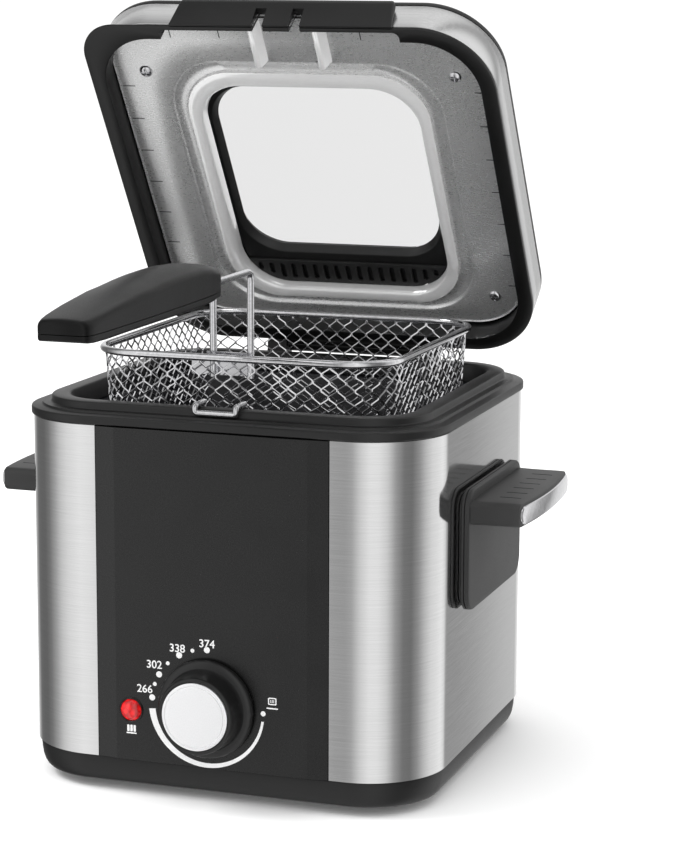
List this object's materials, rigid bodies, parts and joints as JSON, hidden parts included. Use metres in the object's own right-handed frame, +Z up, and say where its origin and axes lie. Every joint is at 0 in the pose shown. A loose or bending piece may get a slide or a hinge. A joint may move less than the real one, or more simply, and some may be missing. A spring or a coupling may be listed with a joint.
{
  "type": "deep fryer",
  "caption": "Small square countertop deep fryer with a hinged steel lid with a window, a wire lift basket with a long grip, a non-stick pot, side handles and a thermostat knob.",
  "frame": {"origin": "on the floor, under the middle of the bounding box of the whole fryer at rest", "axes": "+Z up, -Y towards the knob and the basket's grip, +X towards the right handle as seen from the front"},
  "size_m": [0.2554, 0.3505, 0.3462],
  "materials": {
    "black_plastic": "fine moulded grain",
    "brushed_steel": "brushed",
    "satin_steel": "satin",
    "foot_rubber": "matt",
    "panel_black": "satin",
    "nonstick_coating": "satin coating",
    "plain_steel": "plain",
    "white_moulding": "matt",
    "red_lens": "polished",
    "clear_glass": "polished",
    "chromed_wire": "polished",
    "bright_trim": "polished",
    "satin_cap": "spun"
  },
  "bodies": {
    "housing": {"base_tray": "black_plastic", "bottom_cover": "plain_steel", "foot_front_left": "foot_rubber", "foot_front_right": "foot_rubber", "foot_rear_left": "foot_rubber", "foot_rear_right": "foot_rubber", "outer_skin": "brushed_steel", "control_panel": "panel_black", "collar": "black_plastic", "inner_pot": "nonstick_coating", "heating_element": "plain_steel", "heat_shield": "plain_steel", "thermostat": "plain_steel", "thermal_cutout": "white_moulding", "terminal_block": "white_moulding", "indicator_lens": "red_lens", "lamp_holder": "white_moulding", "handle_left": "black_plastic", "handle_right": "black_plastic", "handle_trim_left": "bright_trim", "handle_trim_right": "bright_trim", "cord_gland": "black_plastic", "hinge_bracket": "black_plastic", "hinge_pin": "plain_steel", "drain_hook": "chromed_wire"},
    "knob": {"knob_body": "black_plastic", "knob_cap": "satin_cap", "thermostat_shaft": "plain_steel"},
    "lid": {"lid_frame": "black_plastic", "lid_band": "brushed_steel", "lid_cover": "black_plastic", "lid_liner": "satin_steel", "window_glass": "clear_glass", "window_frame": "black_plastic", "vent_grille": "black_plastic", "lid_grip": "black_plastic", "lid_knuckle": "black_plastic", "lid_screw_front_left": "plain_steel", "lid_screw_front_right": "plain_steel", "lid_screw_rear_left": "plain_steel", "lid_screw_rear_right": "plain_steel"},
    "basket": {"basket_tub": "chromed_wire", "basket_rim": "chromed_wire", "basket_bracket": "chromed_wire", "handle_wire_left": "chromed_wire", "handle_wire_right": "chromed_wire", "grip_upper": "black_plastic", "grip_lower": "black_plastic"}
  },
  "joints": [
    {"name": "lid_hinge", "type": "hinge", "parent": "housing", "child": "lid", "pos_m": [0, 0.16423, 0.175], "axis": [1, 0, 0], "range_deg": [0, 56]},
    {"name": "basket_lift", "type": "slide", "parent": "housing", "child": "basket", "axis": [0, 0, -1], "range_m": [0, 0.053]},
    {"name": "knob_turn", "type": "hinge", "parent": "housing", "child": "knob", "pos_m": [-0.0015, -0.02927, 0.0433], "axis": [0, 1, 0], "range_deg": [0, 270]}
  ],
  "couplings": [
    {"joint": "basket_lift", "follows": "lid_hinge", "m_per_rad": 0.05412}
  ]
}
